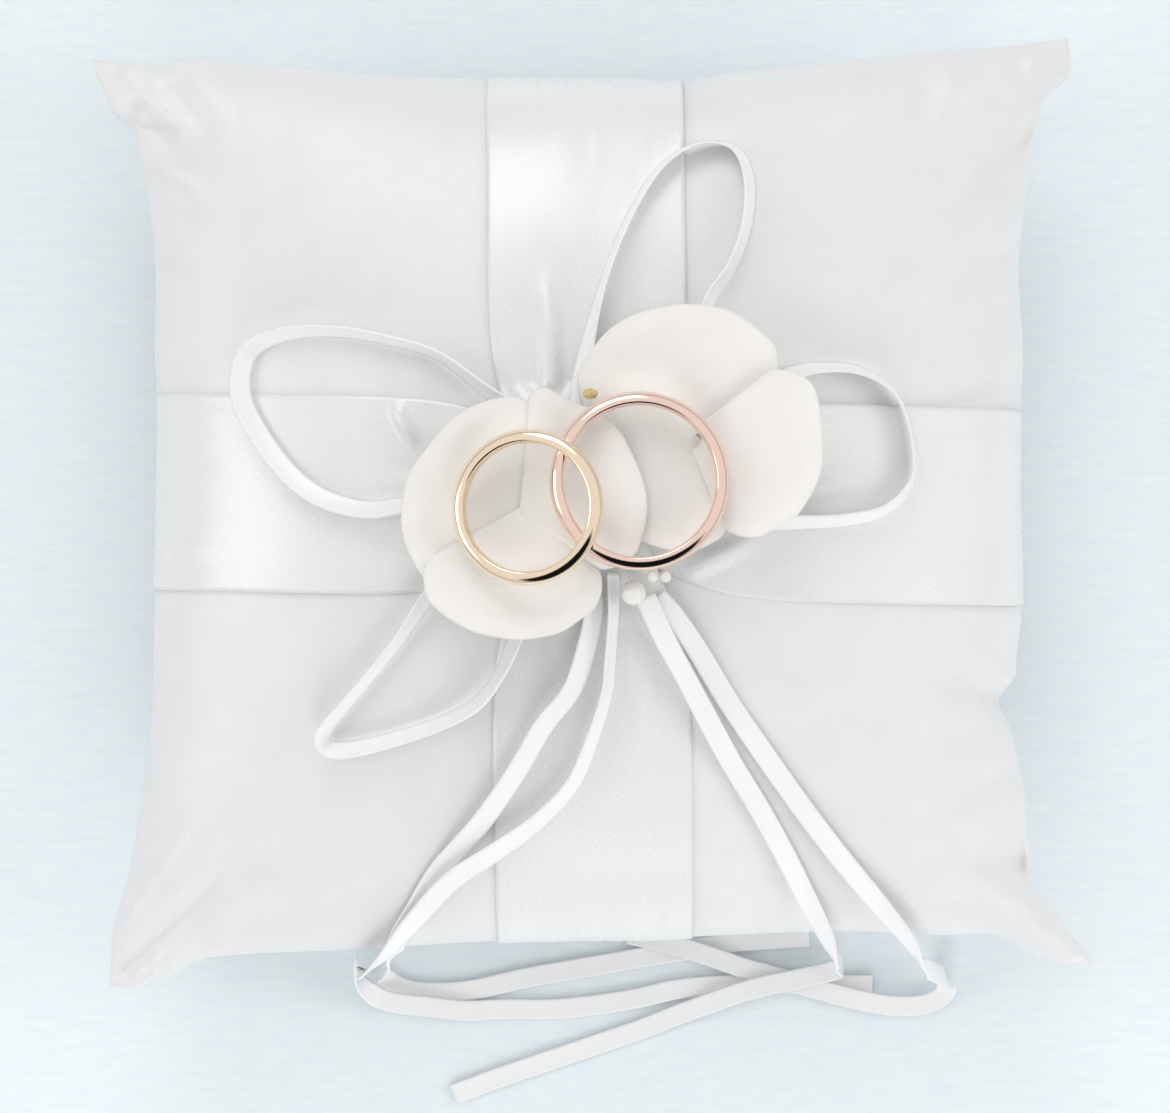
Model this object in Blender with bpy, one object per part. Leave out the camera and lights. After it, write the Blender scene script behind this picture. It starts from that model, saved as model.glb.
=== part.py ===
"""Ring bearer pillow: a stuffed satin cushion with two bands, a ribbon bow, two fabric flowers and two rings.

Metres, +Z up. The origin is on the table under the middle of the cushion, +X along its longer side.
"""

import math

import bmesh
import bpy
from mathutils import Matrix, Vector

# Cushion
PILLOW_HALF_X = 0.0755  # middle to corner tip, along X
PILLOW_HALF_Y = 0.0710  # middle to corner tip, along Y
SIDE_PULL_X = 0.125  # how far the left and right sides draw in between the corners
SIDE_PULL_Y = 0.078  # the same for the front and back sides
SEAM_HEIGHT = 0.0260
CROWN_RISE = 0.0270  # top of the cushion above the seam
BELLY_DROP = 0.0305  # depth below the seam, before the table flattens it
COVER_THICKNESS = 0.0008
FIT_GAP = 0.0003  # clearance between touching pieces
PANEL_CELLS = 16

# Wide satin bands
BAND_HALF_WIDTH = 0.0150
BAND_THICKNESS = 0.0005
BAND_WAIST = 0.0060  # how much each side of the band narrows at the gathers
BAND_WAIST_REACH = 0.0130
BAND_CELLS_LONG = 26
BAND_CELLS_WIDE = 4
BAND_TURN = math.radians(84)  # the band runs over this much of the cushion's arch each way
BAND_STEP = BAND_THICKNESS + 0.0006  # rise of the upper band over the lower one
BAND_STEP_REACH = 0.0140  # how far the upper band stays raised, each side of the middle
BAND_STEP_RUN = 0.0060  # length of the slope at the end of that rise

HORIZONTAL_SWAY = (0.0031, 0.0006)  # Y of its left and right ends
VERTICAL_SWAY = (0.0004, -0.0012)  # X of its front and back ends
MID_SIDE = (PILLOW_HALF_X * (1 - SIDE_PULL_X), PILLOW_HALF_Y * (1 - SIDE_PULL_Y))

# Narrow ribbon of the bow
RIBBON_WIDTH = 0.0032
RIBBON_THICKNESS = 0.0005
RIBBON_SPACING = 0.0040  # distance between the points of its curve
LOOP_SPACING = 0.0042
LOOP_CLEARANCE = 0.0005
TABLE_LIFT = 0.0010  # height at which a hanging ribbon lies down on the table
HANG_TURN = 0.009  # and how far above it the ribbon has turned on its edge

# Flowers
PETAL_THICKNESS = 0.0005
PETAL_LAYER = 0.0008  # height from one petal to the one over it
PETAL_CUP = 0.0012  # rise of a petal's rim over its root
PETAL_RADIUS = 0.0182
PETAL_ROOT = 0.0016
LEFT_FLOWER = Vector((-0.0100, 0.0000, 0.0579))
RIGHT_FLOWER = Vector((0.0150, 0.0110, 0.0568))
LEFT_SLOPE = (0.015, -0.050)
RIGHT_SLOPE = (0.090, -0.050)
CALYX_RADIUS = 0.0078
CALYX_STALK = 0.0024
CALYX_HEIGHT = 0.0023

# Rings
RING_WALL = 0.0021
RING_CROWN = 0.0014  # how much the outside bulges
RING_COMFORT = 0.0004  # how much the inside is eased at its two edges
RING_STEPS = 48
SMALL_RING_RADIUS = 0.0116
SMALL_RING_HEIGHT = 0.0026
SMALL_RING_CENTRE = Vector((-0.0096, 0.0005, 0.0643))
SMALL_RING_LEAN = Vector((-0.270, 0.060, 1.0))
LARGE_RING_RADIUS = 0.01335
LARGE_RING_HEIGHT = 0.0028
LARGE_RING_CENTRE = Vector((0.0070, 0.0044, 0.0623))
LARGE_RING_LEAN = Vector((0.020, 0.070, 1.0))

# Beads
PEARL_RADIUS = 0.0019
SEED_PEARL_RADIUS = 0.0009

# Bow loops: x, y, roll of the ribbon in degrees (0 flat, 90 standing on its edge)
LOOP_ROUTES = {
    "bow_loop_left_upper": (
        (-0.0050, 0.0105, 15), (-0.0095, 0.0135, 35), (-0.0153, 0.0174, 60), (-0.0228, 0.0230, 72),
        (-0.0303, 0.0254, 72), (-0.0379, 0.0268, 70), (-0.0455, 0.0266, 62), (-0.0508, 0.0244, 55),
        (-0.0521, 0.0199, 50), (-0.0513, 0.0154, 45), (-0.0478, 0.0093, 38), (-0.0439, 0.0047, 35),
        (-0.0393, 0.0017, 35), (-0.0333, 0.0002, 38), (-0.0280, 0.0008, 40), (-0.0215, 0.0015, 40),
    ),
    "bow_loop_right_upper": (
        (-0.0010, 0.0105, 15), (-0.0018, 0.0150, 15), (-0.0014, 0.0204, 32), (0.0011, 0.0317, 70),
        (0.0050, 0.0423, 68), (0.0103, 0.0508, 62), (0.0163, 0.0544, 55), (0.0216, 0.0539, 50),
        (0.0235, 0.0493, 55), (0.0230, 0.0424, 62), (0.0207, 0.0362, 65), (0.0177, 0.0317, 60),
        (0.0155, 0.0260, 38), (0.0150, 0.0215, 20),
    ),
    "bow_loop_right_lower": (
        (0.0255, 0.0180, 20), (0.0285, 0.0198, 38), (0.0326, 0.0212, 55), (0.0387, 0.0212, 60),
        (0.0433, 0.0190, 62), (0.0456, 0.0160, 62), (0.0471, 0.0108, 60), (0.0471, 0.0047, 58),
        (0.0432, 0.0002, 55), (0.0372, -0.0013, 55), (0.0296, -0.0016, 48), (0.0225, -0.0014, 22),
        (0.0150, -0.0008, 10), (0.0085, -0.0002, 8),
    ),
    "bow_loop_left_lower": (
        (-0.0165, -0.0070, 20), (-0.0198, -0.0088, 38), (-0.0236, -0.0118, 58), (-0.0288, -0.0193, 68),
        (-0.0349, -0.0268, 68), (-0.0394, -0.0321, 60), (-0.0402, -0.0346, 55), (-0.0380, -0.0357, 52),
        (-0.0319, -0.0346, 58), (-0.0228, -0.0316, 62), (-0.0168, -0.0282, 62), (-0.0131, -0.0230, 60),
        (-0.0115, -0.0192, 50), (-0.0100, -0.0150, 32), (-0.0088, -0.0118, 20),
    ),
}

# Ribbon tails, on the cushion: x, y, clearance under the ribbon, roll
TAILS_ON_PILLOW = {
    "ribbon_tail_outer_left": (
        (-0.0010, -0.0095, 0.0004, 20), (0.0002, -0.0145, 0.0008, 25), (-0.0026, -0.0253, 0.0016, 28),
        (-0.0071, -0.0313, 0.0018, 25), (-0.0116, -0.0389, 0.0014, 20), (-0.0169, -0.0465, 0.0007, 10),
        (-0.0231, -0.0540, 0.0004, 2), (-0.0269, -0.0598, 0.0005, 10), (-0.0296, -0.0638, 0.0006, 16),
        (-0.0304, -0.0660, 0.0008, 32),
    ),
    "ribbon_tail_inner_left": (
        (0.0030, -0.0090, 0.0004, 55), (0.0031, -0.0145, 0.0006, 60), (0.0026, -0.0223, 0.0008, 60),
        (0.0021, -0.0268, 0.0008, 58), (-0.0003, -0.0343, 0.0008, 52), (-0.0031, -0.0404, 0.0008, 42),
        (-0.0082, -0.0457, 0.0010, 30), (-0.0145, -0.0500, 0.0018, 15), (-0.0210, -0.0546, 0.0019, 5),
        (-0.0266, -0.0602, 0.0018, 8), (-0.0318, -0.0647, 0.0026, 30), (-0.0349, -0.0669, 0.0030, 48),
    ),
    "ribbon_tail_outer_right": (
        (0.0094, -0.0125, 0.0004, 10), (0.0121, -0.0156, 0.0004, 10), (0.0158, -0.0210, 0.0004, 5),
        (0.0203, -0.0284, 0.0004, 0), (0.0253, -0.0357, 0.0005, 0), (0.0316, -0.0445, 0.0005, 0),
        (0.0377, -0.0524, 0.0005, 0), (0.0430, -0.0586, 0.0006, -8), (0.0480, -0.0640, 0.0008, -30),
        (0.0502, -0.0668, 0.0010, -56),
    ),
    "ribbon_tail_inner_right": (
        (0.0077, -0.0125, 0.0018, 5), (0.0105, -0.0185, 0.0024, 8), (0.0135, -0.0240, 0.0018, 20),
        (0.0174, -0.0313, 0.0012, 8), (0.0212, -0.0382, 0.0006, 0), (0.0250, -0.0444, 0.0005, 0),
        (0.0290, -0.0515, 0.0005, 0), (0.0328, -0.0587, 0.0006, -8), (0.0356, -0.0634, 0.0008, -30),
        (0.0368, -0.0658, 0.0010, -56),
    ),
}

# The same tails off the cushion's front edge and along the table: x, y, z
TAILS_OFF_PILLOW = {
    "ribbon_tail_outer_left": (
        (-0.0314, -0.0690, 0.0255), (-0.0325, -0.0710, 0.0150), (-0.0332, -0.0721, 0.0055),
        (-0.0323, -0.0735, 0.0012), (-0.0296, -0.0750, 0.0005), (-0.0255, -0.0756, 0.0005),
        (-0.0192, -0.0752, 0.0005), (-0.0097, -0.0731, 0.0005), (0.0013, -0.0712, 0.0005),
        (0.0092, -0.0698, 0.0005), (0.0170, -0.0686, 0.0005), (0.0249, -0.0674, 0.0005),
        (0.0343, -0.0668, 0.0005),
    ),
    "ribbon_tail_inner_left": (
        (-0.0364, -0.0700, 0.0262), (-0.0367, -0.0720, 0.0150), (-0.0364, -0.0736, 0.0070),
        (-0.0338, -0.0762, 0.0028), (-0.0302, -0.0773, 0.0018), (-0.0260, -0.0777, 0.0015),
        (-0.0200, -0.0784, 0.0012), (-0.0138, -0.0782, 0.0005), (-0.0069, -0.0782, 0.0005),
        (0.0000, -0.0776, 0.0005), (0.0070, -0.0765, 0.0005), (0.0139, -0.0750, 0.0005),
        (0.0220, -0.0744, 0.0005), (0.0290, -0.0741, 0.0005), (0.0361, -0.0744, 0.0005),
        (0.0443, -0.0744, 0.0005),
    ),
    "ribbon_tail_outer_right": (
        (0.0522, -0.0706, 0.0245), (0.0545, -0.0722, 0.0120), (0.0556, -0.0736, 0.0045),
        (0.0555, -0.0757, 0.0016), (0.0528, -0.0773, 0.0013), (0.0486, -0.0777, 0.0014),
        (0.0434, -0.0770, 0.0014), (0.0369, -0.0754, 0.0014), (0.0290, -0.0731, 0.0014),
        (0.0234, -0.0715, 0.0014), (0.0183, -0.0697, 0.0014), (0.0112, -0.0676, 0.0014),
        (0.0057, -0.0663, 0.0008),
    ),
    "ribbon_tail_inner_right": (
        (0.0378, -0.0694, 0.0250), (0.0388, -0.0706, 0.0130), (0.0391, -0.0713, 0.0055),
        (0.0376, -0.0721, 0.0026), (0.0326, -0.0733, 0.0024), (0.0276, -0.0743, 0.0024),
        (0.0229, -0.0756, 0.0019), (0.0183, -0.0773, 0.0014), (0.0129, -0.0793, 0.0008),
        (0.0076, -0.0814, 0.0005), (-0.0035, -0.0852, 0.0005), (-0.0138, -0.0887, 0.0005),
        (-0.0219, -0.0917, 0.0005),
    ),
}


def clear_scene():
    for obj in list(bpy.data.objects):
        bpy.data.objects.remove(obj, do_unlink=True)


def material(name, colour, roughness, metallic=0.0):
    made = bpy.data.materials.new(name)
    made.use_nodes = True
    shader = made.node_tree.nodes["Principled BSDF"]
    shader.inputs["Base Color"].default_value = (*colour, 1.0)
    shader.inputs["Roughness"].default_value = roughness
    shader.inputs["Metallic"].default_value = metallic
    return made


def place(name, mesh_or_curve, finish):
    obj = bpy.data.objects.new(name, mesh_or_curve)
    mesh_or_curve.materials.append(finish)
    bpy.context.scene.collection.objects.link(obj)
    return obj


def place_solid(name, bm, finish):
    """Turns a closed body's faces outwards before it is placed."""
    bmesh.ops.recalc_face_normals(bm, faces=bm.faces)
    if bm.calc_volume(signed=True) < 0:
        bmesh.ops.reverse_faces(bm, faces=bm.faces)
    return place_mesh(name, bm, finish)


def place_mesh(name, bm, finish):
    mesh = bpy.data.meshes.new(name)
    bm.to_mesh(mesh)
    bm.free()
    mesh.shade_smooth()
    return place(name, mesh, finish)


# ---- the cushion's surface ----


def cushion_xy(across, along, inset):
    """Plan position for across and along, each from -1 at one side to 1 at the other."""
    x = (PILLOW_HALF_X - inset) * across * (1 - SIDE_PULL_X * (1 - along**2))
    y = (PILLOW_HALF_Y - inset) * along * (1 - SIDE_PULL_Y * (1 - across**2))
    return x, y


def fullness(across, along):
    """Height as a share of the cushion's thickest point: an arch both ways, nothing at the seam."""
    return math.sqrt(max((1 - across**2) * (1 - along**2), 0.0))


def across_along(x, y):
    across = along = 0.0
    for _ in range(8):
        across = x / (PILLOW_HALF_X * (1 - SIDE_PULL_X * (1 - along**2)))
        along = y / (PILLOW_HALF_Y * (1 - SIDE_PULL_Y * (1 - across**2)))
    return across, along


def crown_height(x, y):
    return SEAM_HEIGHT + CROWN_RISE * fullness(*across_along(x, y))


def crown_normal(x, y):
    step = 0.0005
    rise_x = (crown_height(x + step, y) - crown_height(x - step, y)) / (2 * step)
    rise_y = (crown_height(x, y + step) - crown_height(x, y - step)) / (2 * step)
    return Vector((-rise_x, -rise_y, 1.0)).normalized()


def flat_sheet(bm):
    return bmesh.ops.create_grid(bm, x_segments=PANEL_CELLS, y_segments=PANEL_CELLS, size=1.0)["verts"]


def swell(verts, side, inset, seam_gap, floor):
    """Curves a flat sheet: side 1 makes the crown and -1 the belly, which rests flat on floor."""
    depth = (CROWN_RISE if side > 0 else BELLY_DROP) - inset
    for vert in verts:
        across = math.sin(vert.co.x * math.pi / 2)
        along = math.sin(vert.co.y * math.pi / 2)
        height = SEAM_HEIGHT + side * (seam_gap + depth * fullness(across, along))
        vert.co = (*cushion_xy(across, along, inset), max(height, floor))


def cover_panel(name, side, finish):
    """Half of the cover: an outer sheet, and an inner one extruded from it that keeps the wall."""
    bm = bmesh.new()
    outer = flat_sheet(bm)
    extruded = bmesh.ops.extrude_face_region(bm, geom=bm.faces[:], use_keep_orig=True)
    inner = [item for item in extruded["geom"] if isinstance(item, bmesh.types.BMVert)]
    swell(outer, side, 0.0, FIT_GAP / 2, 0.0)
    swell(inner, side, COVER_THICKNESS, FIT_GAP / 2, COVER_THICKNESS)
    return place_solid(name, bm, finish)


def fibre_filling(finish):
    bm = bmesh.new()
    inset = COVER_THICKNESS + 1.5 * FIT_GAP
    swell(flat_sheet(bm), 1, inset, 0.0, 0.0)
    swell(flat_sheet(bm), -1, inset, 0.0, COVER_THICKNESS + FIT_GAP)
    bmesh.ops.remove_doubles(bm, verts=bm.verts, dist=0.00001)
    return place_solid("fibre_filling", bm, finish)


# ---- bands ----


def smooth_step(value):
    value = min(max(value, 0.0), 1.0)
    return value * value * (3 - 2 * value)


def band_half_width(distance):
    return BAND_HALF_WIDTH - BAND_WAIST * math.exp(-((distance / BAND_WAIST_REACH) ** 2))


def band_middle(sway, distance, mid_side):
    return sway[0] + (sway[1] - sway[0]) * (distance / mid_side + 1) / 2


def satin_band(name, lengthwise, sway, lift, finish):
    """A satin band over the crown: lengthwise is 0 along X and 1 along Y, sway shifts its two ends."""
    bm = bmesh.new()
    bmesh.ops.create_grid(bm, x_segments=BAND_CELLS_LONG, y_segments=BAND_CELLS_WIDE, size=1.0)
    mid_side = MID_SIDE[lengthwise]
    for vert in bm.verts:
        distance = mid_side * math.sin(vert.co.x * BAND_TURN)
        aside = band_middle(sway, distance, mid_side) + vert.co.y * band_half_width(distance)
        x, y = (distance, aside) if lengthwise == 0 else (aside, distance)
        rise = lift(distance)
        vert.co = Vector((x, y, crown_height(x, y))) + rise * crown_normal(x, y)
    bmesh.ops.recalc_face_normals(bm, faces=bm.faces)
    if sum(face.normal.z for face in bm.faces) < 0:
        bmesh.ops.reverse_faces(bm, faces=bm.faces)
    band = place_mesh(name, bm, finish)
    thicken(band, BAND_THICKNESS)
    return band


def thicken(obj, thickness):
    wall = obj.modifiers.new("thickness", "SOLIDIFY")
    wall.thickness = thickness
    wall.offset = 1.0


def bands_top(x, y):
    """Height of the bands' upper face over the cover, easing in just outside their edges."""
    top = 0.0
    both = ((0, HORIZONTAL_SWAY, lower_band_lift), (1, VERTICAL_SWAY, upper_band_lift))
    for lengthwise, sway, lift in both:
        distance, aside = (x, y) if lengthwise == 0 else (y, x)
        off = abs(aside - band_middle(sway, distance, MID_SIDE[lengthwise])) - band_half_width(distance)
        top = max(top, (lift(distance) + BAND_THICKNESS) * smooth_step((0.005 - off) / 0.003))
    return top


def lower_band_lift(_distance):
    return 2 * FIT_GAP


def upper_band_lift(distance):
    over = 1 - smooth_step((abs(distance) - BAND_STEP_REACH) / BAND_STEP_RUN)
    return lower_band_lift(distance) + BAND_STEP * over


# ---- ribbon of the bow ----


def smooth_route(points, spacing):
    """Points at an even spacing on a smooth curve through the given ones, each with its extra values."""
    dense = []
    last = len(points) - 1
    for i in range(last):
        before = points[max(i - 1, 0)]
        start = points[i]
        end = points[i + 1]
        after = points[min(i + 2, last)]
        for step in range(16):
            dense.append(spline_point(before, start, end, after, step / 16))
    dense.append(tuple(points[-1]))
    lengths = [0.0]
    for a, b in zip(dense, dense[1:]):
        lengths.append(lengths[-1] + math.dist(a[:3], b[:3]))
    count = max(2, round(lengths[-1] / spacing))
    return [value_at(dense, lengths, lengths[-1] * i / count) for i in range(count + 1)]


def spline_point(before, start, end, after, t):
    out = []
    for a, b, c, d in zip(before, start, end, after):
        bend = 2 * a - 5 * b + 4 * c - d
        twist = 3 * b - a - 3 * c + d
        out.append(0.5 * (2 * b + (c - a) * t + bend * t**2 + twist * t**3))
    return tuple(out)


def value_at(dense, lengths, wanted):
    for i in range(1, len(lengths)):
        if lengths[i] >= wanted:
            share = (wanted - lengths[i - 1]) / (lengths[i] - lengths[i - 1])
            return tuple(a + (b - a) * share for a, b in zip(dense[i - 1], dense[i]))
    return dense[-1]


def ribbon(name, route, finish):
    """A flat ribbon along route, whose points are x, y, z, roll and the direction that it faces."""
    curve = bpy.data.curves.new(name, "CURVE")
    curve.dimensions = "3D"
    curve.twist_mode = "Z_UP"
    curve.bevel_depth = RIBBON_THICKNESS / 2
    curve.bevel_resolution = 2
    curve.extrude = (RIBBON_WIDTH - RIBBON_THICKNESS) / 2
    curve.use_fill_caps = True
    spline = curve.splines.new("POLY")
    spline.points.add(len(route) - 1)
    for i, point in enumerate(route):
        here = Vector(point[:3])
        ahead = (Vector(route[min(i + 1, len(route) - 1)][:3]) - here)
        behind = (here - Vector(route[max(i - 1, 0)][:3]))
        along = (ahead.normalized() + behind.normalized()).normalized()
        spline.points[i].co = (*here, 1.0)
        spline.points[i].tilt = ribbon_tilt(along, Vector(point[4:7]), math.radians(point[3]))
    return place(name, curve, finish)


def ribbon_tilt(along, rests_on, roll):
    """The curve's tilt that turns the ribbon flat on the given direction, then rolls it towards its edge."""
    side = along.cross(rests_on).normalized()
    up = side.cross(along).normalized()
    width = side * math.cos(roll) + up * math.sin(roll)
    level = Vector((along.y, -along.x, 0.0)).normalized()
    rise = level.cross(along).normalized()
    return math.pi / 2 - math.atan2(width.dot(rise), width.dot(level))


def resting_point(x, y, clearance, roll):
    """A ribbon's centre over the cushion and its bands, with the given clearance under its lowest edge."""
    angle = math.radians(roll)
    half = abs(math.sin(angle)) * RIBBON_WIDTH / 2 + abs(math.cos(angle)) * RIBBON_THICKNESS / 2
    normal = crown_normal(x, y)
    centre = Vector((x, y, crown_height(x, y))) + (bands_top(x, y) + clearance + half) * normal
    return (*centre, roll, *normal)


def hanging_point(x, y, z, side):
    """A ribbon's centre off the cushion: it faces to the given side as it hangs, and up on the table."""
    hang = smooth_step((z - TABLE_LIFT) / HANG_TURN)
    facing = Vector((side * hang, 0.0, 1.0 - hang)).normalized()
    return (x, y, z, 0.0, *facing)


def bow_loops(finish):
    for name, points in LOOP_ROUTES.items():
        route = [resting_point(x, y, LOOP_CLEARANCE, roll) for x, y, roll in points]
        ribbon(name, smooth_route(route, LOOP_SPACING), finish)


def ribbon_tails(finish):
    for name, points in TAILS_ON_PILLOW.items():
        route = [resting_point(*point) for point in points]
        side = math.copysign(1.0, -TAILS_OFF_PILLOW[name][0][0])
        route += [hanging_point(*point, side) for point in TAILS_OFF_PILLOW[name]]
        ribbon(name, smooth_route(route, RIBBON_SPACING), finish)


# ---- flowers ----


def petal(name, centre, slope, layer, span, radii, finish):
    """A cupped petal: a sector of the flower between two angles and two radii, with rounded ends."""
    bm = bmesh.new()
    bmesh.ops.create_grid(bm, x_segments=10, y_segments=3, size=1.0)
    first, last = (math.radians(angle) for angle in span)
    root, tip = radii
    for vert in bm.verts:
        angle = first + (last - first) * (vert.co.x + 1) / 2
        reach = root + (tip - root) * math.sqrt(1 - 0.85 * vert.co.x**4)
        radius = root + (reach - root) * (vert.co.y + 1) / 2
        x = radius * math.cos(angle)
        y = radius * math.sin(angle)
        height = layer * PETAL_LAYER + slope[0] * x + slope[1] * y + PETAL_CUP * (radius / PETAL_RADIUS) ** 2
        vert.co = centre + Vector((x, y, height))
    bmesh.ops.recalc_face_normals(bm, faces=bm.faces)
    if sum(face.normal.z for face in bm.faces) < 0:
        bmesh.ops.reverse_faces(bm, faces=bm.faces)
    made = place_mesh(name, bm, finish)
    thicken(made, PETAL_THICKNESS)
    return made


def left_flower(finish):
    petal("left_flower_petal_left", LEFT_FLOWER, LEFT_SLOPE, 0, (84, 228), (PETAL_ROOT, 0.0186), finish)
    petal("left_flower_petal_front", LEFT_FLOWER, LEFT_SLOPE, 1, (206, 318), (PETAL_ROOT, 0.0192), finish)
    petal("left_flower_petal_right", LEFT_FLOWER, LEFT_SLOPE, 1, (-34, 90), (PETAL_ROOT, 0.0184), finish)


def right_flower(finish):
    centre = RIGHT_FLOWER
    petal("right_flower_petal_back", centre, RIGHT_SLOPE, 0, (30, 172), (PETAL_ROOT, 0.0200), finish)
    petal("right_flower_petal_front", centre, RIGHT_SLOPE, 1, (112, 291), (PETAL_ROOT, 0.0155), finish)
    petal("right_flower_petal_right", centre, RIGHT_SLOPE, 2, (-62, 42), (0.0060, 0.0196), finish)


def turned(name, profile, centre, steps, finish, lean=Vector((0, 0, 1))):
    """A closed profile of (radius, height) points spun about an axis, which leans and moves to centre."""
    bm = bmesh.new()
    verts = [bm.verts.new((radius, 0.0, height)) for radius, height in profile]
    edges = [bm.edges.new((a, b)) for a, b in zip(verts, verts[1:])]
    if profile[0][0] > 0:
        edges.append(bm.edges.new((verts[-1], verts[0])))
    bmesh.ops.spin(
        bm, geom=verts + edges, cent=(0, 0, 0), axis=(0, 0, 1), angle=math.tau, steps=steps, use_merge=True
    )
    bmesh.ops.remove_doubles(bm, verts=bm.verts, dist=0.00001)
    bm.transform(Vector((0, 0, 1)).rotation_difference(lean).to_matrix().to_4x4())
    obj = place_solid(name, bm, finish)
    obj.location = centre
    return obj


def calyx(name, centre, finish):
    """The stiffened cloth base that a flower's petals are sewn to, on its short thread stalk."""
    top = -FIT_GAP - 0.0004
    flare = top - 0.0006
    profile = [(0, top), (CALYX_RADIUS, top), (CALYX_RADIUS, flare), (CALYX_STALK, flare - 0.0012)]
    profile += [(CALYX_STALK, -CALYX_HEIGHT), (0, -CALYX_HEIGHT)]
    return turned(name, profile, centre, 24, finish)


# ---- rings, beads and fastenings ----


def ring(name, radius, height, centre, lean, finish):
    """A plain band with a domed outside and a slightly eased inside."""
    half = height / 2
    inner = radius - RING_WALL
    eased = inner + RING_COMFORT
    profile = [(eased, -half), (inner, -half * 0.6), (inner, half * 0.6), (eased, half)]
    for degrees in (90, 60, 30, 0, -30, -60, -90):
        angle = math.radians(degrees)
        profile.append((radius - RING_CROWN * (1 - math.cos(angle)), half * math.sin(angle)))
    return turned(name, profile, centre, RING_STEPS, finish, lean)


def bead(name, radii, centre, finish):
    bm = bmesh.new()
    bmesh.ops.create_uvsphere(bm, u_segments=16, v_segments=8, radius=1.0)
    bmesh.ops.scale(bm, vec=radii, verts=bm.verts)
    obj = place_solid(name, bm, finish)
    obj.location = centre
    return obj


def gathering_stitches(finish):
    """A flat bar of thread that tacks the gathered bands down."""
    size = Vector((0.0070, 0.0010, 0.0004))
    middle = Vector((0.0, -0.0050, 0.0))
    middle.z = crown_height(middle.x, middle.y) + upper_band_lift(0) + BAND_THICKNESS + 0.0006
    bm = bmesh.new()
    bmesh.ops.create_cube(bm, size=1.0, matrix=Matrix.Translation(middle) @ Matrix.Diagonal((*size, 1.0)))
    return place_solid("gathering_stitches", bm, finish)


def build():
    clear_scene()
    cover = material("cover_satin", (0.84, 0.83, 0.84), 0.45)
    fibre = material("polyester_fibre", (0.90, 0.90, 0.90), 0.95)
    satin = material("band_satin", (0.90, 0.90, 0.92), 0.32)
    narrow = material("ribbon_satin", (0.92, 0.92, 0.93), 0.34)
    thread = material("sewing_thread", (0.90, 0.89, 0.86), 0.70)
    cloth = material("petal_cloth", (0.90, 0.87, 0.79), 0.75)
    gold = material("yellow_gold", (0.93, 0.70, 0.42), 0.12, 1.0)
    rose = material("rose_gold", (0.92, 0.60, 0.45), 0.12, 1.0)
    pearl = material("pearl_lustre", (0.92, 0.90, 0.86), 0.18)
    amber = material("stamen_beige", (0.72, 0.58, 0.32), 0.50)

    cover_panel("cover_top_panel", 1, cover)
    cover_panel("cover_bottom_panel", -1, cover)
    fibre_filling(fibre)
    satin_band("horizontal_band", 0, HORIZONTAL_SWAY, lower_band_lift, satin)
    satin_band("vertical_band", 1, VERTICAL_SWAY, upper_band_lift, satin)
    gathering_stitches(thread)
    bow_loops(narrow)
    ribbon_tails(narrow)
    bead("bow_knot", (0.0030, 0.0026, 0.0010), Vector((0.0018, 0.0030, 0.0565)), narrow)
    calyx("left_flower_base", LEFT_FLOWER, cloth)
    calyx("right_flower_base", RIGHT_FLOWER, cloth)
    left_flower(cloth)
    right_flower(cloth)
    bead("large_pearl", (PEARL_RADIUS,) * 3, Vector((0.0061, -0.0122, 0.0586)), pearl)
    bead("seed_pearl_left", (SEED_PEARL_RADIUS,) * 3, Vector((0.0089, -0.0098, 0.0576)), pearl)
    bead("seed_pearl_right", (SEED_PEARL_RADIUS,) * 3, Vector((0.0109, -0.0098, 0.0574)), pearl)
    bead("stamen_tip", (0.0011, 0.0008, 0.0006), Vector((-0.0003, 0.0174, 0.0590)), amber)
    ring("large_ring", LARGE_RING_RADIUS, LARGE_RING_HEIGHT, LARGE_RING_CENTRE, LARGE_RING_LEAN, rose)
    ring("small_ring", SMALL_RING_RADIUS, SMALL_RING_HEIGHT, SMALL_RING_CENTRE, SMALL_RING_LEAN, gold)


build()
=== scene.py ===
import math

import bmesh
import bpy
from mathutils import Matrix, Vector, noise


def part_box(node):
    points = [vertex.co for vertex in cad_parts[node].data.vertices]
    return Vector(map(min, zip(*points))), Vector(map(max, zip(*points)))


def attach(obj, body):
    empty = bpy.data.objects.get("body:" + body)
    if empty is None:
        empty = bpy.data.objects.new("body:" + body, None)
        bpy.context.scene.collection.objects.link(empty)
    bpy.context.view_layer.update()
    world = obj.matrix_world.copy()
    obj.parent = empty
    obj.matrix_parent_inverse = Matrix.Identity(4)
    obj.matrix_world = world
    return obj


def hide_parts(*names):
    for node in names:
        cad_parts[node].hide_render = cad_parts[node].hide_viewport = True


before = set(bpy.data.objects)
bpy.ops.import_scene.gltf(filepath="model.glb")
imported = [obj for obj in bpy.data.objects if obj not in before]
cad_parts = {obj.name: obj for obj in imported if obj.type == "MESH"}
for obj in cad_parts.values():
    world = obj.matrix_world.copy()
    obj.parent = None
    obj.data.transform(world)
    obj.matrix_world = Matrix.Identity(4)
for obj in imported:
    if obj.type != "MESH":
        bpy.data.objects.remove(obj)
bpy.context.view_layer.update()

print("frame loaded:", len(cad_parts), "CAD nodes")

# sizes are metres, +Z is up and the ribbons leave the cushion on its -Y side


camera = {"place": (-0.0011, -0.0068, 1.026), "lens": 200}  # straight above, one metre over the edge seam


def makeCamera():
    lens = bpy.data.cameras.new("camera")
    lens.lens = camera["lens"]
    lens.clip_start = 0.05
    lens.clip_end = 50
    seen = bpy.data.objects.new("camera", lens)
    seen.location = camera["place"]
    bpy.context.scene.collection.objects.link(seen)
    bpy.context.scene.camera = seen
    bpy.context.scene.view_settings.view_transform = "Standard"


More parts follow.
